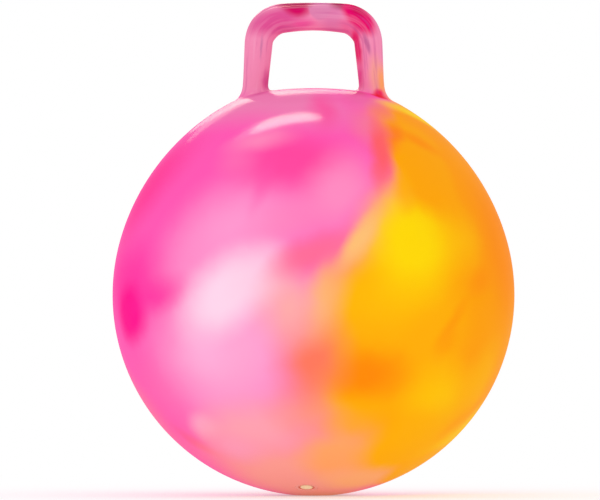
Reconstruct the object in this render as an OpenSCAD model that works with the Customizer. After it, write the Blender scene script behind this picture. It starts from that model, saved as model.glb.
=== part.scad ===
/* Hopper ball: a hollow inflatable vinyl ball with a hollow D handle on its crown,
   and a plugged inflation valve in front of the spot that it stands on. */

/* [Ball] */
// Diameter of the ball across its widest part
ball_d = 381; // [330:1:460]
// Thickness of the blown vinyl skin
skin_t = 1.3; // [1.1:0.1:2.4]
// Radius of the spot where the standing ball flattens under its own weight
contact_r = 18; // [14:0.5:26]

/* [Crown] */
// Radius of the long shoulder curve above the ball, as a share of the ball's radius
shoulder_share = 1.123; // [1.08:0.001:1.2]
// Radius of the brow that turns in under the handle, as a share of the ball's radius
brow_share = 0.595; // [0.53:0.001:0.65]
// Angle from straight up at which the shoulder leaves the ball
shoulder_deg = 75; // [68:1:80]
// Angle from straight up at which the brow leaves the shoulder
brow_deg = 30; // [26:1:33]
// Angle from straight up at which the top leaves the brow
top_deg = 6.9; // [6:0.1:8]

/* [Handle] */
// Distance between the centre lines of the two legs, where they leave the corners
leg_span = 104; // [96:1:116]
// Clear height of the hand opening, from the crown to the underside of the grip
loop_clear = 54.6; // [46:0.2:66]
// Radius of the grip at its middle
grip_r = 13.2; // [12:0.1:15]
// Radius of the handle round the middle of a corner, where it is thickest
bend_r = 14.3; // [12.5:0.1:16]
// Radius of a leg where it leaves its corner
leg_r = 13.3; // [12:0.1:15]
// Radius of a leg where it meets its foot
ankle_r = 12; // [11:0.1:13.2]
// Thickness of the handle's wall
handle_wall = 2.6; // [2:0.1:4]
// Radius of the centre line round a corner of the handle
corner_r = 25.6; // [22:0.2:30]
// Lean of each leg, whose feet stand wider than its corners
leg_lean = 4.3; // [1:0.1:6]
// Slope of the arched grip where it runs into a corner
grip_arch = 6.2; // [4:0.1:8]

/* [Feet] */
// Height of a flared foot above the skin, on the leg's centre line
foot_h = 13; // [12:0.5:17]
// How far up the leg the flare starts on the outer side
outer_rise = 12.6; // [9:0.1:13]
// How far up the leg the flare starts on the inner side
inner_rise = 6.5; // [4:0.1:8]
// How far the flare spreads over the skin on the outer side
outer_spread = 9; // [6:0.1:12]
// How far the flare spreads over the skin on the inner side
inner_spread = 5.5; // [3:0.1:7]

/* [Valve] */
// Angle of the valve from straight down, towards the front
valve_tilt = 17.8; // [15:0.1:30]
// Turn of the valve to the left of the front
valve_turn = 6.6; // [0:0.2:20]
// Radius of the hole that the seat fills in the skin
seat_r = 11; // [10:0.1:13]
// Radius of the flange that is bonded under the skin
flange_r = 17; // [14:0.1:20]
// Thickness of that flange at its edge
flange_t = 1.6; // [1.2:0.1:2.4]
// Radius of the neck that reaches into the ball
neck_r = 7; // [6.2:0.1:8]
// Depth of the seat, from the skin's surface to the end of its neck
seat_depth = 21; // [19:0.5:28]
// Radius of the dish round the head of the plug
dish_r = 7.8; // [7:0.1:9]
// Depth of the dish
dish_depth = 1.8; // [1.2:0.1:2.4]
// Radius of the bore that the plug is pushed into
bore_r = 4; // [3.6:0.1:4.6]

/* [Plug] */
// Radius of the plug's head
head_r = 5.8; // [5.2:0.1:6.6]
// Thickness of the head at its rim
head_rim = 1.6; // [1:0.1:2.2]
// Extra thickness at the middle of the domed head
head_dome = 0.9; // [0.4:0.1:1.4]
// Length of the stem below the head
stem_len = 16; // [14:0.5:17]
// Number of sealing ribs round the stem
ribs = 3; // [2:1:4]
// Height of each rib above the stem's core
rib_h = 0.55; // [0.3:0.05:0.8]
// Width of a rib at its crest
rib_w = 1.2; // [0.8:0.1:1.4]
// Radius of the hollow up the middle of the stem
core_r = 1.6; // [1:0.1:2]
// Running clearance of the ribs in the bore
plug_clear = 0.05; // [0.02:0.01:0.1]

/* [Hidden] */
$fn = 96;
// Facets of the big spheres that the small valve parts are trimmed by
fine_fn = 288;

// Overrun of every cut past the face that it goes through
over = 5;

// Ball: its centre stands so that the flattened spot lies on the floor
ball_r = ball_d / 2;
ball_z = sqrt(pow(ball_r, 2) - pow(contact_r, 2));

// Crown: three arcs, each tangent to the next, given by their centres in the upright plane
shoulder_r = shoulder_share * ball_r;
brow_r = brow_share * ball_r;
function at(centre, r, deg) = centre + r * [sin(deg), cos(deg)];
ball_c = [0, ball_z];
shoulder_c = at(ball_c, ball_r - shoulder_r, shoulder_deg);
brow_c = at(shoulder_c, shoulder_r - brow_r, brow_deg);
brow_end = at(brow_c, brow_r, top_deg);
top_r = brow_end[0] / sin(top_deg);
top_c = [0, brow_end[1] - top_r * cos(top_deg)];
crown_top = top_c[1] + top_r;
brow_start = at(shoulder_c, shoulder_r, brow_deg);

// Height of the skin's outer surface at a distance from the ball's axis
function on_arc(centre, r, x) = centre[1] + sqrt(pow(r, 2) - pow(x - centre[0], 2));
function crown_z(x) =
    x < brow_end[0] ? on_arc(top_c, top_r, x)
    : x < brow_start[0] ? on_arc(brow_c, brow_r, x)
    : on_arc(shoulder_c, shoulder_r, x);

// Handle: its arched grip, corners and legs lie in the plane of X and Z
corner_x = leg_span / 2 - corner_r * cos(leg_lean);
arch_r = corner_x / sin(grip_arch) + corner_r;
grip_z = crown_top + loop_clear + grip_r;
arch_z = grip_z - arch_r;
corner_z = arch_z + (arch_r - corner_r) * cos(grip_arch);
leg_deg = 90 - leg_lean;
leg_down = [sin(leg_lean), 0, -cos(leg_lean)];
leg_out = [cos(leg_lean), 0, sin(leg_lean)];
leg_top = [corner_x, 0, corner_z] + corner_r * leg_out;
leg_to_skin = let (x = leg_top[0] + (leg_top[2] - crown_top) * tan(leg_lean))
    (leg_top[2] - crown_z(x)) / cos(leg_lean);
leg_len = leg_to_skin - foot_h;

// Sides of the handle's tube, and rings of points along each stretch of its right half
tube_sides = 40;
arch_steps = 4;
corner_steps = 8;
leg_steps = 2;
foot_steps = 6;
sole_steps = 3;
// Height of the foot's rim above the skin, and of its sole
rim_h = 0.5;
sole_gap = 0.03;

// One stop on the way from the middle of the grip to the ankle: centre, degrees from up, radius
function blend(from, to, t) = from + (to - from) * t;
function eased(t) = (1 - cos(180 * t)) / 2;
function arc_len(r, deg) = r * deg * PI / 180;
function along(deg) = deg < grip_arch ? arc_len(arch_r, deg)
    : arc_len(arch_r, grip_arch) + arc_len(corner_r, deg - grip_arch);
bend_deg = (grip_arch + leg_deg) / 2;
function turn_r(deg) = deg < bend_deg ? blend(grip_r, bend_r, eased(along(deg) / along(bend_deg)))
    : blend(bend_r, leg_r, eased((deg - bend_deg) / (leg_deg - bend_deg)));
function arch_stop(deg) = [[0, 0, arch_z] + arch_r * [sin(deg), 0, cos(deg)], deg, turn_r(deg)];
function corner_stop(deg) =
    [[corner_x, 0, corner_z] + corner_r * [sin(deg), 0, cos(deg)], deg, turn_r(deg)];
function leg_stop(t) = [leg_top + t * leg_len * leg_down, leg_deg, blend(leg_r, ankle_r, t)];
stops = [
    for (k = [0:arch_steps - 1]) arch_stop(grip_arch * k / arch_steps),
    for (k = [0:corner_steps - 1]) corner_stop(blend(grip_arch, leg_deg, k / corner_steps)),
    for (k = [0:leg_steps]) leg_stop(k / leg_steps)
];

// Points round the tube: angle 0 faces away from the hand opening, 90 faces the back
turns = [for (i = [0:tube_sides - 1]) 360 * i / tube_sides];
function on_tube(stop, inset, a) =
    stop[0] + (stop[2] - inset) * (cos(a) * [sin(stop[1]), 0, cos(stop[1])] + sin(a) * [0, 1, 0]);
function on_leg(r, a, s) = leg_top + s * leg_down + r * (cos(a) * leg_out + sin(a) * [0, 1, 0]);

// Distance down the leg at which its surface meets the skin, by repeated steps
function skin_below(p) = p[2] - crown_z(norm([p[0], p[1]]));
function meets_skin(r, a, s, tries = 5) =
    tries == 0 ? s : meets_skin(r, a, s + skin_below(on_leg(r, a, s)) / cos(leg_lean), tries - 1);
function above_skin(p, h) = [p[0], p[1], crown_z(norm([p[0], p[1]])) + h];

// Foot: its flare is a curve from the leg's surface out to the rim, its sole follows the skin
function outer_share(a) = pow((1 + cos(a)) / 2, 2);
function spread_point(a) = let (low = on_leg(ankle_r, a, meets_skin(ankle_r, a, leg_to_skin)))
    low + blend(inner_spread, outer_spread, outer_share(a)) * [cos(a), sin(a), 0];
function flare_point(a, t) =
    let (
        s = meets_skin(ankle_r, a, leg_to_skin),
        high = on_leg(ankle_r, a, s - blend(inner_rise, outer_rise, outer_share(a))),
        low = above_skin(on_leg(ankle_r, a, s), rim_h),
        rim = above_skin(spread_point(a), rim_h)
    )
    pow(1 - t, 2) * high + 2 * t * (1 - t) * low + pow(t, 2) * rim;
bore_in_leg = ankle_r - handle_wall;
function sole_point(a, t) =
    let (mouth = on_leg(bore_in_leg, a, meets_skin(bore_in_leg, a, leg_to_skin)))
    above_skin(blend(spread_point(a), mouth, t), sole_gap);

// Valve, along the line out from the ball's centre
dish_floor = ball_r - dish_depth;
boss_depth = seat_depth / 2;
flange_floor = sqrt(pow(ball_r - skin_t, 2) - pow(flange_r, 2)) - flange_t;
// Plug: its head stands off the dish's floor by the same clearance as its ribs have
dome_r = (pow(head_r, 2) + pow(head_dome, 2)) / (2 * head_dome);
stem_r = bore_r - plug_clear - rib_h;
tip_share = 0.25;
tip_len = stem_len * tip_share;
tip_r = (stem_r + core_r) / 2;
rib_pitch = (stem_len - tip_len) / (ribs + 1);
// Wall left between the head and the hollow of the stem
core_web = 1.2;

// One sector of a disc, between two angles from straight up
module sector(centre, r, from, to) {
    reach = 2 * r;
    middle = (from + to) / 2;
    translate(centre)
        intersection() {
            circle(r);
            polygon([[0, 0], reach * [sin(from), cos(from)], reach * [sin(middle), cos(middle)],
                reach * [sin(to), cos(to)]]);
        }
}

// Half section of the ball, every arc drawn in by the same inset. A polygon backs the joints of the arcs
module ball_section(inset) {
    intersection() {
        union() {
            polygon([[0, ball_z - ball_r / 2], at(ball_c, ball_r / 2, (shoulder_deg + 180) / 2),
                at(ball_c, ball_r - inset, shoulder_deg), at(shoulder_c, shoulder_r - inset, brow_deg),
                at(brow_c, brow_r - inset, top_deg), [0, brow_end[1] - inset]]);
            sector(ball_c, ball_r - inset, shoulder_deg, 180);
            sector(shoulder_c, shoulder_r - inset, brow_deg, shoulder_deg);
            sector(brow_c, brow_r - inset, top_deg, brow_deg);
            sector(top_c, top_r - inset, 0, top_deg);
        }
        translate([0, inset]) square(2 * ball_d);
    }
}

module ball_solid(inset) {
    rotate_extrude() ball_section(inset);
}

// Puts its children in the valve's own frame: the ball's centre, with Z out through the valve
module at_valve() {
    translate([0, 0, ball_z]) rotate([0, 0, -valve_turn]) rotate([180 - valve_tilt, 0, 0]) children();
}

// Puts its children on both legs
module both_sides() {
    children();
    mirror([1, 0, 0]) children();
}

// Puts its children at the top of the right leg, with Z down the leg
module down_leg() {
    translate(leg_top) rotate([0, 180 - leg_lean, 0]) children();
}

module ball_skin() {
    color([0.98, 0.45, 0.58])
        difference() {
            ball_solid(0);
            ball_solid(skin_t);
            both_sides() down_leg() cylinder(h = leg_to_skin + 2 * grip_r, r = bore_in_leg);
            at_valve() cylinder(h = ball_r + over, r = seat_r);
        }
}

// The handle as one closed sheet of rings: out over its surface from the middle of the grip to a foot,
// in under the sole, back up inside the bore, and the mirrored way over the left half
module handle() {
    right = [
        for (stop = stops) [for (a = turns) on_tube(stop, 0, a)],
        for (k = [0:foot_steps]) [for (a = turns) flare_point(a, k / foot_steps)],
        for (k = [0:sole_steps]) [for (a = turns) sole_point(a, k / sole_steps)],
        for (k = [len(stops) - 1:-1:0]) [for (a = turns) on_tube(stops[k], handle_wall, a)]
    ];
    left = [for (k = [len(right) - 2:-1:1]) [for (p = right[k]) [-p[0], p[1], p[2]]]];
    rings = concat(right, left);
    count = len(rings) * tube_sides;
    faces = [
        for (k = [0:len(rings) - 1], i = [0:tube_sides - 1])
            let (
                a = k * tube_sides + i,
                b = k * tube_sides + (i + 1) % tube_sides,
                c = (a + tube_sides) % count,
                d = (b + tube_sides) % count
            )
            each [[a, b, c], [b, d, c]]
    ];
    color([0.93, 0.36, 0.6])
        polyhedron([for (ring = rings) each ring], faces);
}

// The seat fills its hole in the skin, with a flange under the skin and a neck into the ball
module valve_seat() {
    color([0.97, 0.62, 0.55])
        at_valve()
            difference() {
                union() {
                    intersection() {
                        sphere(ball_r, $fn = fine_fn);
                        translate([0, 0, ball_r - boss_depth]) cylinder(h = boss_depth + over, r = seat_r);
                    }
                    intersection() {
                        sphere(ball_r - skin_t, $fn = fine_fn);
                        translate([0, 0, flange_floor])
                            cylinder(h = flange_t + over, r = flange_r);
                    }
                    translate([0, 0, ball_r - seat_depth]) cylinder(h = boss_depth, r = neck_r);
                }
                translate([0, 0, dish_floor]) cylinder(h = dish_depth + over, r = dish_r);
                translate([0, 0, ball_r - seat_depth - over])
                    cylinder(h = seat_depth + 2 * over, r = bore_r);
            }
}

// Half section of the ribbed stem, from inside the head down to the tip
module stem_section() {
    rib_edges = [
        for (k = [1:ribs])
            let (z = -k * rib_pitch)
            each [[stem_r, z + rib_w / 2 + rib_h], [stem_r + rib_h, z + rib_w / 2],
                [stem_r + rib_h, z - rib_w / 2], [stem_r, z - rib_w / 2 - rib_h]]
    ];
    polygon([[0, head_rim], [stem_r, head_rim], each rib_edges, [stem_r, tip_len - stem_len],
        [tip_r, -stem_len], [0, -stem_len]]);
}

// The plug stands with its domed head just off the dish's floor
module valve_plug() {
    color([0.96, 0.9, 0.72])
        at_valve()
            translate([0, 0, dish_floor])
                difference() {
                    union() {
                        intersection() {
                            translate([0, 0, plug_clear + head_rim + head_dome - dome_r]) sphere(dome_r);
                            translate([0, 0, plug_clear])
                                cylinder(h = head_rim + 2 * head_dome, r = head_r);
                        }
                        rotate_extrude() stem_section();
                    }
                    translate([0, 0, -stem_len - over])
                        cylinder(h = stem_len + over - core_web, r = core_r);
                }
}

ball_skin();
handle();
valve_seat();
valve_plug();
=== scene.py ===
import math

import bmesh
import bpy
from mathutils import Euler, Matrix, Vector


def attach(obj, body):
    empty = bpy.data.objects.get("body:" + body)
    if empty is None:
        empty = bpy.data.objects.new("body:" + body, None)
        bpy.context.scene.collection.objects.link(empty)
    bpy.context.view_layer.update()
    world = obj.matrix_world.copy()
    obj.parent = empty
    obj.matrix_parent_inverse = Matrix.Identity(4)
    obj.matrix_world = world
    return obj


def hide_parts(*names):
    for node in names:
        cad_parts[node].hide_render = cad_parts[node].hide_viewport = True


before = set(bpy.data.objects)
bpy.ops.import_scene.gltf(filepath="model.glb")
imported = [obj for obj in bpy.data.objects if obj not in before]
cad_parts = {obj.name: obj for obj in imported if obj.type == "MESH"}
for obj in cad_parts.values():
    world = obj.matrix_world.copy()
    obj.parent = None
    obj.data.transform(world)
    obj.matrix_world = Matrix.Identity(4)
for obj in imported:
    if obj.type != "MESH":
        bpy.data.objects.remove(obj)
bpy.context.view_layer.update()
mm = 0.001
mergeGap = 0.01 * mm
crispFold = math.radians(32)  # folds sharper than this stay crisp
print("frame loaded:", sorted(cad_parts))


def objectFrom(bm, name):
    mesh = bpy.data.meshes.new(name)
    bm.to_mesh(mesh)
    bm.free()
    made = bpy.data.objects.new(name, mesh)
    bpy.context.scene.collection.objects.link(made)
    return made


def newPiece(name, bm, body, node):
    bmesh.ops.recalc_face_normals(bm, faces=bm.faces)
    for face in bm.faces:
        face.smooth = True
    for edge in bm.edges:
        edge.smooth = len(edge.link_faces) != 2 or edge.calc_face_angle() < crispFold
    piece = objectFrom(bm, name)
    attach(piece, body)
    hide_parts(node)
    return piece


def pointAt(centre, radius, degrees):  # degrees from straight up, towards +X
    turned = math.radians(degrees)
    return centre + radius * Vector((math.sin(turned), 0, math.cos(turned)))


def mixed(start, end, share):
    return start + (end - start) * share


# The ball is round up to the shoulder. Three arcs that run into each other make its flatter crown.
ball = {
    "radius": 190.5 * mm,
    "skin": 1.3 * mm,
    "contactRadius": 18 * mm,  # spot that it stands on
    "shoulderShare": 1.123,  # radius of the shoulder and brow arcs over the ball's radius
    "browShare": 0.595,
    "shoulderDeg": 75,  # where each arc starts, from straight up
    "browDeg": 30,
    "topDeg": 6.9,
    "turns": 192,
    "stepDeg": 1.3,
    "leastSteps": 4,
    "drillLength": 60 * mm,
}
ballRadius = ball["radius"]
ballCentre = Vector((0, 0, math.sqrt(ballRadius**2 - ball["contactRadius"] ** 2)))
shoulderRadius = ball["shoulderShare"] * ballRadius
browRadius = ball["browShare"] * ballRadius
shoulderCentre = pointAt(ballCentre, ballRadius - shoulderRadius, ball["shoulderDeg"])
browCentre = pointAt(shoulderCentre, shoulderRadius - browRadius, ball["browDeg"])
shoulderStart = pointAt(ballCentre, ballRadius, ball["shoulderDeg"])
browStart = pointAt(shoulderCentre, shoulderRadius, ball["browDeg"])
browEnd = pointAt(browCentre, browRadius, ball["topDeg"])
topRadius = browEnd.x / math.sin(math.radians(ball["topDeg"]))
topCentre = Vector((0, 0, browEnd.z - topRadius * math.cos(math.radians(ball["topDeg"]))))
crownTop = topCentre.z + topRadius


def crownHeight(point):  # height of the skin above or below a point near the crown
    out = math.hypot(point.x, point.y)
    if out < browEnd.x:
        centre, radius = topCentre, topRadius
    elif out < browStart.x:
        centre, radius = browCentre, browRadius
    else:
        centre, radius = shoulderCentre, shoulderRadius
    return centre.z + math.sqrt(radius**2 - (out - centre.x) ** 2)


def spinArc(bm, vertex, centre, degrees):
    steps = max(ball["leastSteps"], round(abs(degrees) / ball["stepDeg"]))
    arc = bmesh.ops.spin(bm, geom=[vertex], cent=centre, axis=(0, 1, 0), angle=math.radians(degrees),
                         steps=steps)
    return next(item for item in arc["geom_last"] if isinstance(item, bmesh.types.BMVert))


def ballOutside():
    bm = bmesh.new()
    middle = bm.verts.new((0, 0, 0))
    edge = bm.verts.new((ball["contactRadius"], 0, 0))
    bm.edges.new((middle, edge))
    contactDeg = 180 - math.degrees(math.asin(ball["contactRadius"] / ballRadius))
    last = spinArc(bm, edge, ballCentre, ball["shoulderDeg"] - contactDeg)
    last = spinArc(bm, last, shoulderCentre, ball["browDeg"] - ball["shoulderDeg"])
    last = spinArc(bm, last, browCentre, ball["topDeg"] - ball["browDeg"])
    last = spinArc(bm, last, topCentre, -ball["topDeg"])
    print("ball's outline closes at", round(last.co.z / mm, 3), "crown at", round(crownTop / mm, 3))
    bmesh.ops.spin(bm, geom=bm.verts[:] + bm.edges[:], cent=(0, 0, 0), axis=(0, 0, 1), angle=math.tau,
                   steps=ball["turns"], use_merge=True)
    bmesh.ops.remove_doubles(bm, verts=bm.verts, dist=mergeGap)
    bmesh.ops.recalc_face_normals(bm, faces=bm.faces)
    return bm


def addDrill(bm, radius, sides, matrix):
    bmesh.ops.create_cone(bm, cap_ends=True, segments=sides, radius1=radius, radius2=radius,
                          depth=ball["drillLength"], matrix=matrix)


def skinCutters():  # a drill for the valve's hole and one for each leg's bore
    bm = bmesh.new()
    hole = valveFrame @ Matrix.Translation((0, 0, ballRadius))
    addDrill(bm, valve["seatRadius"], valve["sides"], hole)
    foot = legTop + legToSkin * legDown
    for side in (1, -1):
        leaning = Matrix.Rotation(-side * lean, 4, "Y")
        addDrill(bm, boreInLeg, loop["sides"], Matrix.Translation((side * foot.x, 0, foot.z)) @ leaning)
    for face in bm.faces:
        face.material_index = 1  # marks the walls that the drills leave in the ball
    return objectFrom(bm, "skinCutters")


def makeBall():
    whole = objectFrom(ballOutside(), "ballOutside")
    cutters = skinCutters()
    cut = whole.modifiers.new("holes", "BOOLEAN")
    cut.object, cut.solver, cut.operation, cut.material_mode = cutters, "EXACT", "DIFFERENCE", "INDEX"
    drilled = whole.evaluated_get(bpy.context.evaluated_depsgraph_get())
    bm = bmesh.new()
    bm.from_mesh(drilled.to_mesh())
    drilled.to_mesh_clear()
    for spare in (whole, cutters):
        bpy.data.meshes.remove(spare.data)  # its object goes with it
    pockets = [face for face in bm.faces if face.material_index == 1]
    bmesh.ops.delete(bm, geom=pockets, context="FACES")
    bmesh.ops.remove_doubles(bm, verts=bm.verts, dist=mergeGap)
    bmesh.ops.recalc_face_normals(bm, faces=bm.faces)
    bmesh.ops.solidify(bm, geom=bm.faces[:], thickness=ball["skin"])
    print("ball:", len(bm.faces), "faces, drilled", len(pockets), "pocket faces away")
    return bm


# The hand loop is one hollow tube: grip, two corners, two legs that lean out, and flared feet.
loop = {
    "legSpan": 104 * mm,  # between the legs' middles at the corners
    "loopClear": 54.6 * mm,  # from the crown up to the grip
    "gripRadius": 13.2 * mm,
    "bendRadius": 14.3 * mm,
    "legRadius": 13.3 * mm,
    "ankleRadius": 12 * mm,
    "wall": 2.6 * mm,
    "cornerRadius": 25.6 * mm,
    "legLean": 4.3,
    "gripArch": 6.2,
    "footHeight": 13 * mm,
    "outerRise": 12.6 * mm,  # the flare reaches higher and wider on the outside
    "innerRise": 6.5 * mm,
    "outerSpread": 9 * mm,
    "innerSpread": 5.5 * mm,
    "sunk": 0.6 * mm,  # how deep the sole goes into the skin
    "sides": 64,
    "archSteps": 10,
    "cornerSteps": 22,
    "legSteps": 6,
    "flareSteps": 14,
    "soleSteps": 4,
    "settleSteps": 6,
    "streakUnit": 10 * mm,
}
lean = math.radians(loop["legLean"])
cornerX = loop["legSpan"] / 2 - loop["cornerRadius"] * math.cos(lean)
archRadius = cornerX / math.sin(math.radians(loop["gripArch"])) + loop["cornerRadius"]
archCentre = Vector((0, 0, crownTop + loop["loopClear"] + loop["gripRadius"] - archRadius))
cornerCentre = pointAt(archCentre, archRadius - loop["cornerRadius"], loop["gripArch"])
legDeg = 90 - loop["legLean"]
legDown = Vector((math.sin(lean), 0, -math.cos(lean)))
legOut = Vector((math.cos(lean), 0, math.sin(lean)))
legTop = cornerCentre + loop["cornerRadius"] * legOut
landing = legTop + Vector(((legTop.z - crownTop) * math.tan(lean), 0, 0))
legToSkin = (legTop.z - crownHeight(landing)) / math.cos(lean)
legLength = legToSkin - loop["footHeight"]
boreInLeg = loop["ankleRadius"] - loop["wall"]


def arcLength(radius, degrees):
    return radius * math.radians(degrees)


def eased(share):
    return (1 - math.cos(math.pi * share)) / 2


def alongGrip(degrees):
    arch = min(degrees, loop["gripArch"])
    return arcLength(archRadius, arch) + arcLength(loop["cornerRadius"], degrees - arch)


def tubeRadius(degrees):  # slim at the middle of the grip, thickest round the corner
    bendDeg = (loop["gripArch"] + legDeg) / 2
    if degrees < bendDeg:
        share = eased(alongGrip(degrees) / alongGrip(bendDeg))
        return mixed(loop["gripRadius"], loop["bendRadius"], share)
    share = eased((degrees - bendDeg) / (legDeg - bendDeg))
    return mixed(loop["bendRadius"], loop["legRadius"], share)


def handleStops():  # centre, degrees from up and radius, from the middle of the grip to the ankle
    stops = []
    for k in range(loop["archSteps"]):
        degrees = loop["gripArch"] * k / loop["archSteps"]
        stops.append((pointAt(archCentre, archRadius, degrees), degrees, tubeRadius(degrees)))
    for k in range(loop["cornerSteps"]):
        degrees = mixed(loop["gripArch"], legDeg, k / loop["cornerSteps"])
        point = pointAt(cornerCentre, loop["cornerRadius"], degrees)
        stops.append((point, degrees, tubeRadius(degrees)))
    for k in range(loop["legSteps"] + 1):
        share = k / loop["legSteps"]
        radius = mixed(loop["legRadius"], loop["ankleRadius"], share)
        stops.append((legTop + share * legLength * legDown, legDeg, radius))
    return stops


def onTube(stop, inset, turn):  # turn 0 faces away from the hand opening
    centre, degrees, radius = stop
    up = pointAt(Vector(), 1, degrees)
    return centre + (radius - inset) * (math.cos(turn) * up + math.sin(turn) * Vector((0, 1, 0)))


def onLeg(radius, turn, down):
    outward = math.cos(turn) * legOut + math.sin(turn) * Vector((0, 1, 0))
    return legTop + down * legDown + radius * outward


def meetsSkin(radius, turn):  # how far down the leg a line on its side meets the crown
    down = legToSkin
    for _ in range(loop["settleSteps"]):
        point = onLeg(radius, turn, down)
        down += (point.z - crownHeight(point)) / math.cos(lean)
    return down


def aboveSkin(point, height):
    return Vector((point.x, point.y, crownHeight(point) + height))


def outerShare(turn):  # 1 on the outer side of the leg, 0 on the inner side
    return ((1 + math.cos(turn)) / 2) ** 2


def spreadPoint(turn):
    low = onLeg(loop["ankleRadius"], turn, meetsSkin(loop["ankleRadius"], turn))
    spread = mixed(loop["innerSpread"], loop["outerSpread"], outerShare(turn))
    return low + spread * Vector((math.cos(turn), math.sin(turn), 0))


def onFlare(turn, share):  # a curve from the leg's side out onto the skin
    down = meetsSkin(loop["ankleRadius"], turn)
    rise = mixed(loop["innerRise"], loop["outerRise"], outerShare(turn))
    high = onLeg(loop["ankleRadius"], turn, down - rise)
    low = aboveSkin(onLeg(loop["ankleRadius"], turn, down), 0)
    rim = aboveSkin(spreadPoint(turn), 0)
    return (1 - share) ** 2 * high + 2 * share * (1 - share) * low + share**2 * rim


def onSole(turn, share):
    mouth = onLeg(boreInLeg, turn, meetsSkin(boreInLeg, turn))
    return aboveSkin(mixed(spreadPoint(turn), mouth, share), -loop["sunk"])


def makeHandle():
    stops = handleStops()
    flare, sole = loop["flareSteps"], loop["soleSteps"]
    rings = [lambda turn, stop=stop: onTube(stop, 0, turn) for stop in stops]
    rings += [lambda turn, k=k: onFlare(turn, k / flare) for k in range(1, flare + 1)]
    rings += [lambda turn, k=k: onSole(turn, k / sole) for k in range(sole + 1)]
    rings += [lambda turn, stop=stop: onTube(stop, loop["wall"], turn) for stop in reversed(stops)]
    bm = bmesh.new()
    turnOf = bm.verts.layers.float.new("turn")
    tube = bm.verts.layers.float_vector.new("tube")  # round and along the tube, for streaks
    circle = bmesh.ops.create_circle(bm, cap_ends=False, segments=loop["sides"], radius=1)
    for k, vert in enumerate(circle["verts"]):
        vert[turnOf] = math.tau * k / loop["sides"]
    edges, verts, along, before = bm.edges[:], circle["verts"], 0, None
    for ring in rings:  # extruded outside from the grip down, under the sole and up the bore
        if before:
            grown = bmesh.ops.extrude_edge_only(bm, edges=edges)["geom"]
            edges = [item for item in grown if isinstance(item, bmesh.types.BMEdge)]
            verts = [item for item in grown if isinstance(item, bmesh.types.BMVert)]
        for vert in verts:
            vert.co = ring(vert[turnOf])
        centre = sum((vert.co for vert in verts), Vector()) / len(verts)
        along += (centre - before).length if before else 0
        before = centre
        for vert in verts:
            turn = vert[turnOf]
            vert[tube] = Vector((math.cos(turn), math.sin(turn), along / loop["streakUnit"]))
    bmesh.ops.mirror(bm, geom=bm.verts[:] + bm.edges[:] + bm.faces[:], axis="X", merge_dist=mergeGap)
    for vert in bm.verts:
        if vert.co.x < -mergeGap:
            vert[tube] = Vector((vert[tube].x, vert[tube].y, -vert[tube].z))
    bm.verts.layers.float.remove(bm.verts.layers.float["turn"])
    print("hand loop:", len(bm.faces), "faces")
    return bm


# The valve's seat is bonded under the skin, and the plug presses into its bore.
valve = {
    "tilt": 17.8,  # from straight down, towards the front
    "turn": 6.6,  # to the left of the front
    "seatRadius": 11 * mm,
    "flangeRadius": 17 * mm,
    "flangeEdge": 1.6 * mm,
    "neckRadius": 7 * mm,
    "depth": 21 * mm,
    "dishRadius": 7.8 * mm,
    "dishDepth": 1.8 * mm,
    "boreRadius": 4 * mm,
    "seamRound": 0.25 * mm,  # where the seat meets the skin
    "lipRound": 0.5 * mm,
    "boreRound": 0.3 * mm,
    "neckRound": 0.8 * mm,
    "flangeRound": 0.5 * mm,
    "roundSteps": 4,
    "sides": 96,
    "mergeGap": 0.002 * mm,
}
valveFrame = (Matrix.Translation(ballCentre)
              @ Matrix.Rotation(math.radians(-valve["turn"]), 4, "Z")
              @ Matrix.Rotation(math.radians(180 - valve["tilt"]), 4, "X"))


# Turns rows of distance out, height and size of rounding about the valve's line.
def spinProfile(rows, steps, closed):
    bm = bmesh.new()
    verts = [bm.verts.new((out, 0, height)) for out, height, rounding in rows]
    for first, second in zip(verts, verts[1:] + verts[:1] if closed else verts[1:]):
        bm.edges.new((first, second))
    for vert, (out, height, rounding) in zip(verts, rows):
        if rounding:
            bmesh.ops.bevel(bm, geom=[vert], offset=rounding, offset_type="OFFSET", profile=0.5,
                            segments=valve["roundSteps"], affect="VERTICES", material=-1)
    bmesh.ops.spin(bm, geom=bm.verts[:] + bm.edges[:], cent=(0, 0, 0), axis=(0, 0, 1), angle=math.tau,
                   steps=steps, use_merge=True)
    bmesh.ops.remove_doubles(bm, verts=bm.verts, dist=valve["mergeGap"])
    bmesh.ops.transform(bm, matrix=valveFrame, verts=bm.verts)
    return bm


def onSphere(radius, out):
    return math.sqrt(radius**2 - out**2)


def makeSeat():
    inner = ballRadius - ball["skin"]
    dishFloor = ballRadius - valve["dishDepth"]
    end = ballRadius - valve["depth"]
    waist = ballRadius - valve["depth"] / 2
    flangeTop = onSphere(inner, valve["flangeRadius"])
    flangeFloor = flangeTop - valve["flangeEdge"]
    rows = [
        (valve["seatRadius"], onSphere(ballRadius, valve["seatRadius"]), valve["seamRound"]),
        (valve["dishRadius"], onSphere(ballRadius, valve["dishRadius"]), valve["lipRound"]),
        (valve["dishRadius"], dishFloor, valve["lipRound"]),
        (valve["boreRadius"], dishFloor, valve["boreRound"]),
        (valve["boreRadius"], end, valve["boreRound"]),
        (valve["neckRadius"], end, valve["neckRound"]),
        (valve["neckRadius"], waist, valve["neckRound"]),
        (valve["seatRadius"], waist, valve["neckRound"]),
        (valve["seatRadius"], flangeFloor, 0),
        (valve["flangeRadius"], flangeFloor, valve["flangeRound"]),
        (valve["flangeRadius"], flangeTop, 0),
        (valve["seatRadius"], onSphere(inner, valve["seatRadius"]), 0),
    ]
    return spinProfile(rows, valve["sides"], True)


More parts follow.
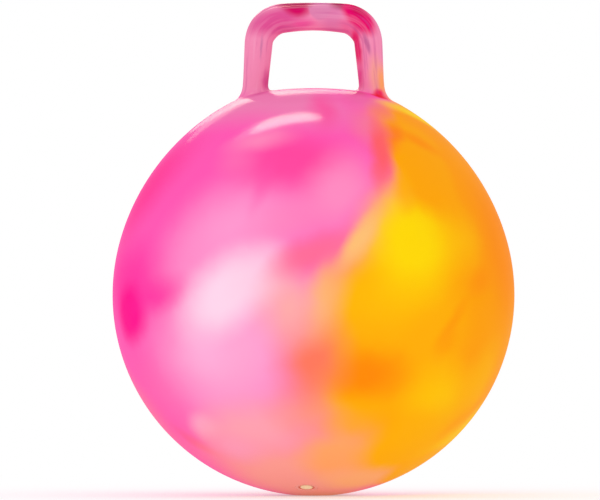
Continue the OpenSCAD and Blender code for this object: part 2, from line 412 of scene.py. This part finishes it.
plug = {
    "headRadius": 5.8 * mm,
    "headRim": 1.6 * mm,
    "headDome": 0.9 * mm,
    "headRound": 0.45 * mm,
    "stemLength": 16 * mm,
    "tipShare": 0.25,
    "ribs": 3,
    "ribHeight": 0.55 * mm,
    "ribWidth": 1.2 * mm,
    "ribRound": 0.3 * mm,
    "edgeRound": 0.2 * mm,  # under the head and at the tip
    "coreRadius": 1.6 * mm,
    "coreWeb": 1.2 * mm,  # what closes the hollow stem under the head
    "clear": 0.05 * mm,  # between plug and seat
    "domeSteps": 6,
    "sides": 72,
}


def makePlug():
    floor = ballRadius - valve["dishDepth"]
    head = floor + plug["clear"]
    stem = valve["boreRadius"] - plug["clear"] - plug["ribHeight"]
    domeRadius = (plug["headRadius"] ** 2 + plug["headDome"] ** 2) / (2 * plug["headDome"])
    domeCentre = head + plug["headRim"] + plug["headDome"] - domeRadius
    rows = [(0, domeCentre + domeRadius, 0)]
    for k in range(1, plug["domeSteps"] + 1):
        out = plug["headRadius"] * k / plug["domeSteps"]
        rounding = plug["headRound"] if k == plug["domeSteps"] else 0
        rows.append((out, domeCentre + onSphere(domeRadius, out), rounding))
    rows += [(plug["headRadius"], head, plug["edgeRound"]), (stem, head, 0)]
    straight = plug["stemLength"] * (1 - plug["tipShare"])
    pitch = straight / (plug["ribs"] + 1)
    for k in range(1, plug["ribs"] + 1):
        at = floor - k * pitch
        high, low = at + plug["ribWidth"] / 2, at - plug["ribWidth"] / 2
        rows += [(stem, high + plug["ribHeight"], 0), (stem + plug["ribHeight"], high, plug["ribRound"]),
                 (stem + plug["ribHeight"], low, plug["ribRound"]), (stem, low - plug["ribHeight"], 0)]
    core, tip, web = plug["coreRadius"], floor - plug["stemLength"], floor - plug["coreWeb"]
    rows += [(stem, floor - straight, 0), ((stem + core) / 2, tip, plug["edgeRound"]), (core, tip, 0),
             (core, web, 0), (0, web, 0)]
    return spinProfile(rows, plug["sides"], False)


def linear(code):  # a colour as written on screen, such as "#FF8A00"
    levels = [int(code[k:k + 2], 16) / 255 for k in (1, 3, 5)]
    return tuple(c / 12.92 if c <= 0.04045 else ((c + 0.055) / 1.055) ** 2.4 for c in levels) + (1,)


def addNode(tree, kind, inputs=(), **settings):
    node = tree.nodes.new(kind)
    for name, value in settings.items():
        setattr(node, name, value)
    for socket, value in dict(inputs).items():
        if isinstance(value, bpy.types.NodeSocket):
            tree.links.new(value, node.inputs[socket])
        else:
            node.inputs[socket].default_value = value
    return node


def objectPlace(tree):
    return addNode(tree, "ShaderNodeTexCoord").outputs["Object"]


def vectorMath(tree, operation, first, second):
    return addNode(tree, "ShaderNodeVectorMath", {0: first, 1: second}, operation=operation).outputs[0]


def greater(tree, first, second):
    return addNode(tree, "ShaderNodeMath", {0: first, 1: second}, operation="MAXIMUM").outputs[0]


def ramp(tree, value, start, end, low=0.0, high=1.0, kind="SMOOTHSTEP"):
    inputs = {"Value": value, "From Min": start, "From Max": end, "To Min": low, "To Max": high}
    return addNode(tree, "ShaderNodeMapRange", inputs, interpolation_type=kind).outputs[0]


def noiseCloud(tree, vector, scale, detail):
    return addNode(tree, "ShaderNodeTexNoise", {"Vector": vector, "Scale": scale, "Detail": detail})


def mixColour(tree, factor, first, second):
    node = addNode(tree, "ShaderNodeMix", data_type="RGBA")
    for socket, value in zip((node.inputs[0], node.inputs[6], node.inputs[7]), (factor, first, second)):
        if isinstance(value, bpy.types.NodeSocket):
            tree.links.new(value, socket)
        else:
            socket.default_value = value
    return node.outputs[2]


def stirred(tree, vector, scale, amount):  # a point moved about by noise
    noise = noiseCloud(tree, vector, scale, 2.0)
    centred = vectorMath(tree, "SUBTRACT", noise.outputs["Color"], (0.5, 0.5, 0.5))
    shift = addNode(tree, "ShaderNodeVectorMath", {0: centred, "Scale": amount}, operation="SCALE")
    return vectorMath(tree, "ADD", vector, shift.outputs[0])


def distance(tree, vector):
    return addNode(tree, "ShaderNodeVectorMath", {0: vector}, operation="LENGTH").outputs["Value"]


def addSpot(tree, vector, colour, place, rotation, size, core, amount, code):
    inputs = {"Vector": vector, "Location": place, "Rotation": rotation, "Scale": size}
    local = addNode(tree, "ShaderNodeMapping", inputs, vector_type="TEXTURE")
    fade = ramp(tree, distance(tree, local.outputs[0]), core, 1.0, amount, 0.0)
    return mixColour(tree, fade, colour, linear(code))


def newMaterial(name, settings):
    material = bpy.data.materials.new(name)
    material.use_nodes = True
    tree = material.node_tree
    shader = tree.nodes["Principled BSDF"]
    for socket, value in settings.items():
        shader.inputs[socket].default_value = value
    return material, tree, shader


# The photograph's view, for places that are given as pixels of its 600 x 500 frame.
picture = {
    "middle": (300, 250),
    "ballMiddle": (313.5, 295),
    "pixel": 0.9478 * mm,  # what a pixel spans at the ball
    "lookAt": (-12.8 * mm, 232.3 * mm),  # x and height that the camera is level with
    "away": 10.0,
    "settleSteps": 24,
    "drawIn": 0.01,  # a pixel past the outline moves to the ball's middle by this share at a time
    "drawInSteps": 60,
}


def skinOut(height):  # how far from the ball's upright line the skin is
    if height > browEnd.z:
        centre, radius = topCentre, topRadius
    elif height > browStart.z:
        centre, radius = browCentre, browRadius
    elif height > shoulderStart.z:
        centre, radius = shoulderCentre, shoulderRadius
    else:
        centre, radius = ballCentre, ballRadius
    return centre.x + math.sqrt(max(radius**2 - (height - centre.z) ** 2, 0))


def seenAt(across, down):  # azimuth and elevation of what is seen at a pixel, in whole degrees
    for _ in range(picture["drawInSteps"]):
        y = 0
        for _ in range(picture["settleSteps"]):
            span = picture["pixel"] * (1 + y / picture["away"])
            x = picture["lookAt"][0] + (across - picture["middle"][0]) * span
            z = picture["lookAt"][1] - (down - picture["middle"][1]) * span
            depth = skinOut(z) ** 2 - x**2
            y = (y - math.sqrt(max(depth, 0))) / 2
        if depth > 0:
            break
        across += (picture["ballMiddle"][0] - across) * picture["drawIn"]
        down += (picture["ballMiddle"][1] - down) * picture["drawIn"]
    level = math.hypot(x, y)
    return round(math.degrees(math.atan2(x, -y))), round(math.degrees(math.atan2(z - ballCentre.z, level)))


marble = {
    "base": "#FF56B2",
    "stirs": ((15.0, 14 * mm), (45.0, 6 * mm)),  # scale of the noise, how far it moves the patches
    "laterStir": (70.0, 2 * mm),
    "stirEvery": 24,  # patches between two later stirs
    "leastDepth": 24,  # how deep a patch goes into the skin, in mm
    "crownMiddle": Vector((0, 0, 385 * mm)),
    "crownReach": 70 * mm,
}
# Soft patches of colour, each over the ones before it: azimuth from the front to the right, elevation,
# half width and half height in mm, turn, share at full strength, strength, colour. The ones that the
# photograph shows have a pixel of it for their place.
marbleSpots = {
    "paleField": (*seenAt(225, 345), 130, 150, 10, 0.1, 0.95, "#FFA6D2"),
    "paleRise": (*seenAt(236, 222), 115, 72, -20, 0.0, 0.85, "#FF9CD0"),
    "hotShoulder": (*seenAt(150, 186), 56, 94, 28, 0.1, 0.95, "#FF3698"),
    "hotCrown": (*seenAt(292, 160), 84, 52, 8, 0.15, 0.9, "#FF449C"),
    # painted highlight: a paler glow spread under the softbox's highlight on the crown
    "paintedHighlightGlow": (*seenAt(258, 138), 50, 22, -14, 0.0, 0.8, "#FF8CBC"),
    "shoulderSoft": (*seenAt(236, 160), 34, 26, 0, 0.0, 0.6, "#FF74B6"),
    "hotVein": (*seenAt(264, 185), 14, 46, 10, 0.0, 0.45, "#FF50A8"),
    "palePetal": (*seenAt(340, 190), 48, 70, 24, 0.1, 0.9, "#FF8EC2"),
    "paleSeam": (*seenAt(290, 218), 60, 40, -20, 0.0, 0.6, "#FF86BC"),
    "whiteStreak": (*seenAt(226, 292), 86, 46, -35, 0.15, 1.0, "#FED4EA"),
    "whiteTail": (*seenAt(256, 278), 50, 40, -40, 0.1, 0.55, "#FEC8DF"),
    "magentaGlow": (*seenAt(128, 285), 95, 60, 0, 0.1, 0.9, "#FF30A0"),
    "magentaSpot": (*seenAt(129, 312), 42, 38, 0, 0.35, 1.0, "#FF008E"),
    "magentaArm": (*seenAt(156, 297), 62, 24, -14, 0.0, 0.75, "#FF2C9E"),
    "pinkLow": (*seenAt(160, 395), 60, 80, -35, 0.1, 0.5, "#FF6EB0"),
    "coralRim": (*seenAt(145, 415), 60, 100, -35, 0.1, 0.7, "#FF78A0"),
    "hotStreak": (*seenAt(198, 444), 14, 44, -45, 0.1, 0.9, "#FF5896"),
    "palePocket": (*seenAt(208, 430), 30, 24, 0, 0.1, 0.95, "#FDA6CE"),
    "salmonFoot": (*seenAt(300, 478), 140, 110, 0, 0.2, 1.0, "#FCA69A"),
    "blushLow": (*seenAt(256, 428), 86, 50, -10, 0.1, 0.95, "#FCA6B4"),
    "salmonMiddle": (*seenAt(298, 410), 46, 46, 0, 0.0, 0.65, "#FE9880"),
    "amberSide": (*seenAt(506, 320), 218, 219, 0, 0.74, 1.0, "#FFA000"),
    "amberBelly": (*seenAt(396, 340), 102, 140, 10, 0.5, 1.0, "#FFAE00"),
    "orangeShoulder": (*seenAt(458, 158), 116, 88, 40, 0.64, 1.0, "#FF9C00"),
    "orangeRim": (*seenAt(503, 246), 80, 100, 0, 0.2, 0.85, "#FF8C00"),
    "amberStreak": (*seenAt(432, 172), 16, 60, -30, 0.0, 0.6, "#FFB000"),
    "yellowHeart": (*seenAt(413, 242), 66, 74, 10, 0.2, 1.0, "#FFD600"),
    "yellowFoot": (*seenAt(392, 298), 70, 42, 0, 0.1, 0.5, "#FFC400"),
    "yellowLow": (*seenAt(440, 400), 66, 54, 20, 0.1, 0.9, "#FFC600"),
    "orangeBelly": (*seenAt(366, 372), 66, 40, 5, 0.1, 0.95, "#FF8800"),
    "orangeSpotHigh": (*seenAt(481, 282), 30, 20, -20, 0.0, 0.5, "#FF8A00"),
    "orangeSpotLow": (*seenAt(446, 342), 20, 28, 30, 0.0, 0.5, "#FF9400"),
    "orangeVein": (*seenAt(455, 322), 11, 44, 40, 0.0, 0.55, "#FF9400"),
    "yellowBrow": (*seenAt(418, 110), 58, 19, 38, 0.2, 0.95, "#FFD400"),
    "peachFoot": (*seenAt(338, 456), 56, 60, 0, 0.2, 0.95, "#FFAC66"),
    "amberFoot": (*seenAt(407, 446), 60, 66, 30, 0.4, 1.0, "#FFB400"),
    "pinkFoot": (*seenAt(240, 452), 40, 30, 0, 0.0, 0.7, "#FCA2C0"),
    "amberHaze": (*seenAt(356, 424), 40, 26, 0, 0.0, 0.6, "#FFAC10"),
    "amberLow": (*seenAt(478, 384), 44, 60, 20, 0.1, 0.8, "#FFB600"),
    "paleLow": (*seenAt(204, 352), 46, 38, 0, 0.0, 0.5, "#FFB4DE"),
    "coralSpot": (*seenAt(311, 354), 50, 68, 0, 0.05, 0.95, "#FF765A"),
    "peachMiddle": (*seenAt(326, 300), 30, 54, 10, 0.0, 0.95, "#FDB468"),
    "blushMiddle": (*seenAt(288, 306), 46, 56, 0, 0.0, 0.9, "#FFACA6"),
    "coralSeam": (*seenAt(310, 254), 66, 24, -24, 0.1, 0.9, "#FF6C94"),
    "peachSeam": (*seenAt(362, 238), 16, 50, 36, 0.1, 0.95, "#FBC074"),
    "amberNeck": (*seenAt(420, 160), 46, 72, 12, 0.6, 1.0, "#FFA400"),
    "emberBrow": (*seenAt(416, 140), 48, 14, 38, 0.0, 0.85, "#FF8E00"),
    "amberCheek": (*seenAt(404, 190), 17, 36, 8, 0.1, 0.9, "#FFAC00"),
    "emberStreak": (*seenAt(394, 136), 15, 40, 36, 0.0, 0.8, "#FF7020"),
    "yellowHaze": (*seenAt(460, 240), 46, 46, 0, 0.0, 0.5, "#FFC800"),
    "amberHem": (*seenAt(454, 436), 68, 36, -40, 0.2, 1.0, "#FFC600"),
    "roseVeil": (*seenAt(368, 126), 28, 46, 16, 0.0, 0.65, "#FA7C8C"),
    "coralStreak": (*seenAt(383, 150), 17, 66, 20, 0.15, 0.95, "#FF5E64"),
    "peachBrow": (*seenAt(382, 110), 20, 26, 20, 0.1, 0.85, "#FC7C64"),
    # painted shade: the crown under the hand loop made darker and greyer
    "paintedCrownShade": (*seenAt(270, 98), 130, 62, 0, 0.2, 0.85, "#EC82B2"),
    "hotBrow": (*seenAt(324, 108), 20, 50, 0, 0.0, 0.8, "#FC4C9C"),
    "roseBrow": (*seenAt(360, 98), 30, 34, 10, 0.1, 0.8, "#EE70A6"),
    "amberCrown": (95, 64, 46, 30, 0, 0.4, 1.0, "#FFB41C"),
    "underFoot": (56, -84, 70, 60, 0, 0.1, 0.9, "#FBA87C"),
    "creamFoot": (*seenAt(362, 480), 62, 36, 0, 0.2, 0.95, "#FFB87C"),
    "amberUnder": (*seenAt(414, 474), 44, 44, 0, 0.5, 1.0, "#FFB400"),
    # painted shade in the crease beside the right foot
    "paintedShadeRightFoot": (52, 73, 22, 18, 0, 0.0, 0.85, "#DA5478"),
    "redFoot": (72, 70, 16, 13, 0, 0.35, 1.0, "#F02038"),
    # painted shade in the crease beside the left foot
    "paintedShadeLeftFoot": (-64, 74, 22, 20, 0, 0.1, 0.8, "#D24C92"),
    "backField": (-165, -10, 150, 150, 0, 0.2, 0.9, "#FF9CCE"),
    "backWhite": (-166, -8, 42, 92, 35, 0.1, 0.95, "#FDD2E8"),
    "backHot": (-122, 24, 60, 100, -24, 0.1, 0.95, "#FF38A0"),
    "backHotCrown": (-178, 42, 90, 40, -8, 0.1, 0.9, "#FF4AA2"),
    "backMagenta": (-124, -22, 92, 44, 18, 0.0, 0.85, "#FF1C94"),
    "backPinkLow": (-150, -45, 80, 40, -20, 0.1, 0.8, "#FF66AE"),
    "backBlush": (172, -28, 50, 60, 10, 0.0, 0.85, "#FFA8B0"),
    "backPeach": (152, -16, 34, 96, -12, 0.0, 0.95, "#FDB070"),
    "backCoral": (160, 18, 30, 110, 24, 0.0, 0.95, "#FF6878"),
    "backYellow": (116, 16, 56, 90, -20, 0.1, 0.95, "#FFD200"),
    "backOrange": (128, -28, 84, 34, 22, 0.0, 0.9, "#FF8800"),
    "backYellowLow": (106, -46, 70, 40, -16, 0.1, 0.85, "#FFC400"),
    "backSalmon": (180, -60, 110, 70, 0, 0.2, 0.9, "#FBA294"),
    "backLilac": (-172, 68, 120, 60, 0, 0.2, 0.8, "#EE86B8"),
    "backAmberBrow": (122, 50, 84, 36, -16, 0.1, 0.95, "#FFA000"),
    "sideGold": (104, 34, 40, 64, -20, 0.1, 0.7, "#FFBE00"),
    "sideVein": (98, -14, 18, 92, 28, 0.0, 0.55, "#FF8200"),
    "sidePeach": (126, -6, 22, 84, 10, 0.0, 0.8, "#FFB060"),
    "leftPale": (-106, -8, 40, 88, -14, 0.0, 0.8, "#FF8CC6"),
    "leftRose": (-104, 42, 50, 60, 30, 0.0, 0.7, "#FF3C9C"),
    "leftBlush": (-108, -50, 70, 40, 8, 0.0, 0.8, "#FF9AB4"),
}


# A long chain of patches on one stirred place renders black, so the place is stirred anew now and then,
# and only the patches that come within reach of the middle are built.
def marbleGroup(name, middle, reach):
    tree = bpy.data.node_groups.new(name, "ShaderNodeTree")
    tree.interface.new_socket("Color", in_out="OUTPUT", socket_type="NodeSocketColor")
    vector = objectPlace(tree)
    for scale, amount in marble["stirs"]:
        vector = stirred(tree, vector, scale, amount)
    colour = linear(marble["base"])
    built = 0
    for number, row in enumerate(marbleSpots.values()):
        if number % marble["stirEvery"] == marble["stirEvery"] - 1:
            scale, amount = marble["laterStir"]
            vector = stirred(tree, vector, scale + number, amount)
        azimuth, elevation, wide, high, turn, core, amount, code = row
        aim = (Matrix.Rotation(math.radians(azimuth), 3, "Z")
               @ Matrix.Rotation(math.radians(-elevation), 3, "X")
               @ Matrix.Rotation(math.radians(turn), 3, "Y"))
        spot = ballCentre + aim @ Vector((0, -ballRadius, 0))
        if (spot - middle).length > max(wide, high) * mm + reach:
            continue
        size = (wide * mm, max(math.sqrt(wide * high), marble["leastDepth"]) * mm, high * mm)
        colour = addSpot(tree, vector, colour, spot, aim.to_euler("XYZ"), size, core, amount, code)
        built += 1
    out = addNode(tree, "NodeGroupOutput")
    tree.links.new(colour, out.inputs[0])
    print(name, "has", built, "patches")
    return tree


vinylMarbling = marbleGroup("marbledVinyl", ballCentre, 1.0)
crownMarbling = marbleGroup("marbledCrown", marble["crownMiddle"], marble["crownReach"])

peel = {  # the faint orange peel of moulded vinyl
    "cloudScale": 60.0,
    "cloudRange": (0.3, 0.7),
    "peelScale": 420.0,
    "strength": 0.06,
    "depth": 0.2 * mm,
}


def addSkinTexture(tree, shader, gloss):
    place = objectPlace(tree)
    cloud = noiseCloud(tree, place, peel["cloudScale"], 3.0)
    roughness = ramp(tree, cloud.outputs[0], *peel["cloudRange"], *gloss, kind="LINEAR")
    tree.links.new(roughness, shader.inputs["Roughness"])
    grain = noiseCloud(tree, place, peel["peelScale"], 1.0)
    bump = addNode(tree, "ShaderNodeBump", {"Height": grain.outputs[0], "Strength": peel["strength"],
                                            "Distance": peel["depth"]})
    tree.links.new(bump.outputs[0], shader.inputs["Normal"])


ballFinish = {
    "shader": {"Specular IOR Level": 0.0, "Coat Weight": 0.1, "Coat Roughness": 0.12},
    "gloss": (0.13, 0.2),
}


def ballMaterial():
    material, tree, shader = newMaterial("marbledVinylBall", ballFinish["shader"])
    paint = addNode(tree, "ShaderNodeGroup", node_tree=vinylMarbling)
    tree.links.new(paint.outputs[0], shader.inputs["Base Color"])
    addSkinTexture(tree, shader, ballFinish["gloss"])
    return material


loopFinish = {
    "shader": {"Specular IOR Level": 0.0, "Coat Weight": 0.09, "Coat Roughness": 0.16},
    "gloss": (0.12, 0.19),
    "base": "#F38EB6",
    "stir": (50.0, 5 * mm),
    "streakStretch": (3.2, 3.2, 0.16),  # streaks run along the tube
    "streakScale": 1.1,
    # the pale and deep streaks are partly the vinyl's flow and partly painted reflections of lamps along
    # the glossy tube
    "paleFlowAndReflectionStreaks": ((0.5, 0.7), 0.24, "#F6AACB"),
    "deepFlowAndReflectionStreaks": ((0.47, 0.33), 0.35, "#C24E92"),
    "footFade": (374 * mm, 387 * mm),  # the feet take up the ball's marbling
}
# Patches on the loop: x, y and z in mm, half sizes in x, y and z, turn in the loop's plane,
# share at full strength, strength, colour.
handleSpots = {
    "rosyCorner": (-36, -12, 449, 38, 24, 16, -14, 0.3, 0.95, "#DE4C92"),
    "rosyUnder": (-24, -8, 441, 22, 14, 5, -8, 0.2, 0.7, "#DA5596"),
    "rosyMiddle": (-10, -12, 447, 18, 20, 8, 0, 0.1, 0.8, "#EE4E9C"),
    "magentaHaze": (-23, -8, 464, 20, 22, 8, 4, 0.1, 0.9, "#CC1E68"),
    "magentaPatch": (-16, -9, 460, 19, 20, 10, 8, 0.3, 1.0, "#D40060"),
    "lilacSoft": (18, -10, 452, 18, 30, 26, 0, 0.2, 0.9, "#E07AAC"),
    "lilacBar": (6, -10, 461, 12, 40, 13, 0, 0.75, 0.95, "#DE80AE"),
    "rosyBend": (36, -12, 443, 18, 20, 11, 30, 0.3, 0.8, "#EC689E"),
    "wineTopLeft": (-17, -5, 467, 24, 22, 9, 0, 0.35, 1.0, "#B0004C"),
    "wineTopRight": (28, -5, 467, 20, 22, 11, 8, 0.35, 1.0, "#A80E50"),
    # painted shade: the top edge of the grip made darker and greyer
    "paintedTopEdgeShade": (10, -4, 469, 13, 20, 6, 0, 0.2, 0.8, "#C46698"),
    "magentaCorner": (43, -10, 453, 26, 24, 13, 46, 0.55, 1.0, "#E8006A"),
    "wineCorner": (42, -8, 459, 13, 18, 8, 24, 0.2, 0.8, "#CC0054"),
    "innerMagenta": (41, -6, 426, 6, 18, 26, -9, 0.4, 1.0, "#E42A70"),
    # painted reflections: thin grey lines of the surroundings along the glossy legs
    "paintedReflectionStreak": (51, -14, 428, 4, 8, 16, -14, 0.2, 0.8, "#BC6096"),
    "paintedReflectionStreakLeft": (-49, -14, 424, 1.8, 8, 18, 4, 0.1, 0.5, "#B070A0"),
    "peachLeg": (59, -10, 397, 10, 22, 29, -4, 0.2, 0.9, "#F9A89A"),
    "orangeEdge": (66, -4, 388, 7, 22, 29, -4, 0.2, 0.9, "#FFA658"),
    # painted shade: darker pink in the creases on the legs' inner sides above the feet
    "paintedCreaseShadeLeft": (-45, -6, 393, 6, 14, 17, 2, 0.1, 0.9, "#D64490"),
    "paintedCreaseShadeRight": (44, -6, 397, 5, 14, 16, -2, 0.1, 0.9, "#DE4A92"),
    "redAnkle": (62, -14, 381, 7, 14, 7, 0, 0.3, 1.0, "#F01C3C"),
    "backMagentaBar": (-4, 12, 462, 22, 14, 9, 0, 0.3, 0.9, "#D81468"),
    "backRosyCorner": (44, 12, 448, 24, 18, 14, 35, 0.2, 0.85, "#E65C98"),
    "backPeachLeg": (-56, 12, 405, 8, 12, 28, 4, 0.2, 0.8, "#F49CA0"),
    "backInner": (-42, 10, 424, 5, 12, 26, 9, 0.2, 0.8, "#DC3A80"),
}


def handleMaterial():
    material, tree, shader = newMaterial("marbledVinylHandLoop", loopFinish["shader"])
    place = objectPlace(tree)
    vector = stirred(tree, place, *loopFinish["stir"])
    colour = linear(loopFinish["base"])
    for x, y, z, wide, deep, high, turn, core, amount, code in handleSpots.values():
        middle, size = Vector((x, y, z)) * mm, Vector((wide, deep, high)) * mm
        aim = Euler((0, math.radians(turn), 0))
        colour = addSpot(tree, vector, colour, middle, aim, size, core, amount, code)
    tube = addNode(tree, "ShaderNodeAttribute", attribute_name="tube").outputs["Vector"]
    drawn = addNode(tree, "ShaderNodeMapping", {"Vector": tube, "Scale": loopFinish["streakStretch"]})
    streaks = noiseCloud(tree, drawn.outputs[0], loopFinish["streakScale"], 3.0)
    # streaks partly of the vinyl's flow, partly painted reflections along the tube
    for kind in ("paleFlowAndReflectionStreaks", "deepFlowAndReflectionStreaks"):
        (low, high), amount, code = loopFinish[kind]
        share = ramp(tree, streaks.outputs[0], low, high, 0.0, amount)
        colour = mixColour(tree, share, colour, linear(code))
    paint = addNode(tree, "ShaderNodeGroup", node_tree=crownMarbling)
    height = addNode(tree, "ShaderNodeSeparateXYZ", {0: place}).outputs["Z"]
    colour = mixColour(tree, ramp(tree, height, *loopFinish["footFade"]), paint.outputs[0], colour)
    tree.links.new(colour, shader.inputs["Base Color"])
    addSkinTexture(tree, shader, loopFinish["gloss"])
    return material


valveFinish = {
    "shader": {"Specular IOR Level": 0.3},
    "gloss": (0.25, 0.35),
    "cloudScale": 120.0,
    "tint": "#F08C78",
}


def seatMaterial():
    material, tree, shader = newMaterial("valveVinyl", valveFinish["shader"])
    cloud = noiseCloud(tree, objectPlace(tree), valveFinish["cloudScale"], 2.0)
    paint = addNode(tree, "ShaderNodeGroup", node_tree=vinylMarbling)
    colour = mixColour(tree, cloud.outputs[0], paint.outputs[0], linear(valveFinish["tint"]))
    tree.links.new(colour, shader.inputs["Base Color"])
    addSkinTexture(tree, shader, valveFinish["gloss"])
    return material


plugFinish = {
    "shader": {"Specular IOR Level": 0.4},
    "gloss": (0.32, 0.45),
    "cloudScale": 260.0,
    "cream": "#FBEBC0",
    "shade": "#F5DDA6",
}


def plugMaterial():
    material, tree, shader = newMaterial("creamPlug", plugFinish["shader"])
    cloud = noiseCloud(tree, objectPlace(tree), plugFinish["cloudScale"], 3.0)
    colour = mixColour(tree, cloud.outputs[0], linear(plugFinish["cream"]), linear(plugFinish["shade"]))
    tree.links.new(colour, shader.inputs["Base Color"])
    addSkinTexture(tree, shader, plugFinish["gloss"])
    return material


vinylBall = newPiece("vinylBall", makeBall(), "ball", "ball_skin")
vinylBall.data.materials.append(ballMaterial())
handLoop = newPiece("handLoop", makeHandle(), "ball", "handle")
handLoop.data.materials.append(handleMaterial())
valveSeat = newPiece("valveSeat", makeSeat(), "ball", "valve_seat")
valveSeat.data.materials.append(seatMaterial())
valvePlug = newPiece("plug", makePlug(), "plug", "valve_plug")
valvePlug.data.materials.append(plugMaterial())
for piece in (vinylBall, handLoop, valveSeat, valvePlug):
    print(piece.name, len(piece.data.polygons), "faces")


studio = {
    "floorSize": 24.0,
    "floorCells": 24,
    "floorDrop": 0.2 * mm,
    "floorColour": (0.6, 0.6, 0.6, 1),
    "floorGlowAndPaintedShadow": (0.3, 0.43),  # the floor is a light table, its glow painted dimmer where the ball stands: a painted contact shadow
    "paintedShadowReach": (0.015, 0.06),
    "shadowReach": (0.15, 0.8),  # the floor fades to plain white between these distances
    "worldLight": 0.96,
    "softboxColour": (1, 0.98, 0.72),  # a little warm, so that highlights on pink don't turn lilac
    "overheadTurn": -6,
    "viewWidth": 0.5687,  # metres across the picture at the ball
    "sensorWidth": 36,
    "farthest": 60,
}


def makeFloor():
    bm = bmesh.new()
    cells = studio["floorCells"]
    bmesh.ops.create_grid(bm, x_segments=cells, y_segments=cells, size=studio["floorSize"] / 2)
    floor = objectFrom(bm, "floor")
    floor.location.z = -studio["floorDrop"]
    material, tree, shader = newMaterial("paleFloor", {
        "Base Color": studio["floorColour"], "Roughness": 0.9, "Specular IOR Level": 0.0,
        "Emission Color": (1, 1, 1, 1)})
    away = distance(tree, objectPlace(tree))
    # painted shadow: the floor's glow is made dimmer close to where the ball stands
    glow = ramp(tree, away, *studio["paintedShadowReach"], *studio["floorGlowAndPaintedShadow"])
    tree.links.new(glow, shader.inputs["Emission Strength"])
    rays = addNode(tree, "ShaderNodeLightPath")
    seen = greater(tree, rays.outputs["Is Camera Ray"], rays.outputs["Is Glossy Ray"])
    fade = ramp(tree, away, *studio["shadowReach"])
    share = addNode(tree, "ShaderNodeMath", {0: fade, 1: seen}, operation="MULTIPLY")
    white = addNode(tree, "ShaderNodeEmission", {"Color": (1, 1, 1, 1), "Strength": 1.0})
    both = addNode(tree, "ShaderNodeMixShader",
                   {0: share.outputs[0], 1: shader.outputs[0], 2: white.outputs[0]})
    tree.links.new(both.outputs[0], tree.nodes["Material Output"].inputs["Surface"])
    floor.data.materials.append(material)


def makeWorld():  # white to look at, a little dimmer as light
    world = bpy.data.worlds.new("studio")
    bpy.context.scene.world = world
    world.use_nodes = True
    tree = world.node_tree
    rays = addNode(tree, "ShaderNodeLightPath")
    seen = greater(tree, rays.outputs["Is Camera Ray"], rays.outputs["Is Glossy Ray"])
    seen = greater(tree, seen, rays.outputs["Is Transmission Ray"])
    strength = ramp(tree, seen, 0.0, 1.0, studio["worldLight"], 1.0, kind="LINEAR")
    background = tree.nodes["Background"]
    background.inputs["Color"].default_value = (1, 1, 1, 1)
    tree.links.new(strength, background.inputs["Strength"])


ballMiddle = (0, 0, ballCentre.z)
# Place, what it aims at, size, power, and whether it lights more than the highlights.
lamps = {
    "softboxOverhead": ((-0.235, 0.28, 1.41), (-0.235, 0.28, 0), (0.6, 0.19), 16, False),
    "softboxTail": ((-0.48, 0.32, 1.38), (-0.48, 0.32, 0), (0.4, 0.2), 2, False),
    "softboxBack": (ballCentre + 2.5 * Vector((-0.2, 0.85, 0.48)), ballMiddle, (1.1, 0.55), 9, False),
    "softboxWide": (ballCentre + 2.6 * Vector((-0.09, 0.9, 0.42)), ballMiddle, (1.0, 1.2), 23, False),
    "fillFrontLow": ((-0.5, -1.6, 0.15), ballMiddle, (1.2, 0.8), 2, True),
}


def areaLight(name, place, target, size, power, lights):
    data = bpy.data.lights.new(name, "AREA")
    data.shape, data.size, data.size_y, data.energy = "ELLIPSE", size[0], size[1], power
    data.color = (1, 1, 1) if lights else studio["softboxColour"]
    light = bpy.data.objects.new(name, data)
    light.location = place
    light.rotation_euler = (Vector(target) - Vector(place)).to_track_quat("-Z", "Y").to_euler()
    light.visible_camera = False
    light.visible_diffuse = lights
    bpy.context.scene.collection.objects.link(light)


def makeCamera():
    data = bpy.data.cameras.new("camera")
    camera = bpy.data.objects.new("camera", data)
    x, z = picture["lookAt"]
    camera.location = (x, -picture["away"], z)
    camera.rotation_euler = (math.radians(90), 0, 0)
    data.sensor_width = studio["sensorWidth"]
    data.lens = studio["sensorWidth"] * picture["away"] / studio["viewWidth"]
    data.clip_end = studio["farthest"]
    bpy.context.scene.collection.objects.link(camera)
    bpy.context.scene.camera = camera


makeFloor()
makeWorld()
for name, settings in lamps.items():
    areaLight(name, *settings)
bpy.data.objects["softboxOverhead"].rotation_euler.z = math.radians(studio["overheadTurn"])
makeCamera()
bpy.context.scene.view_settings.view_transform = "Standard"
print("floor, light and camera made")
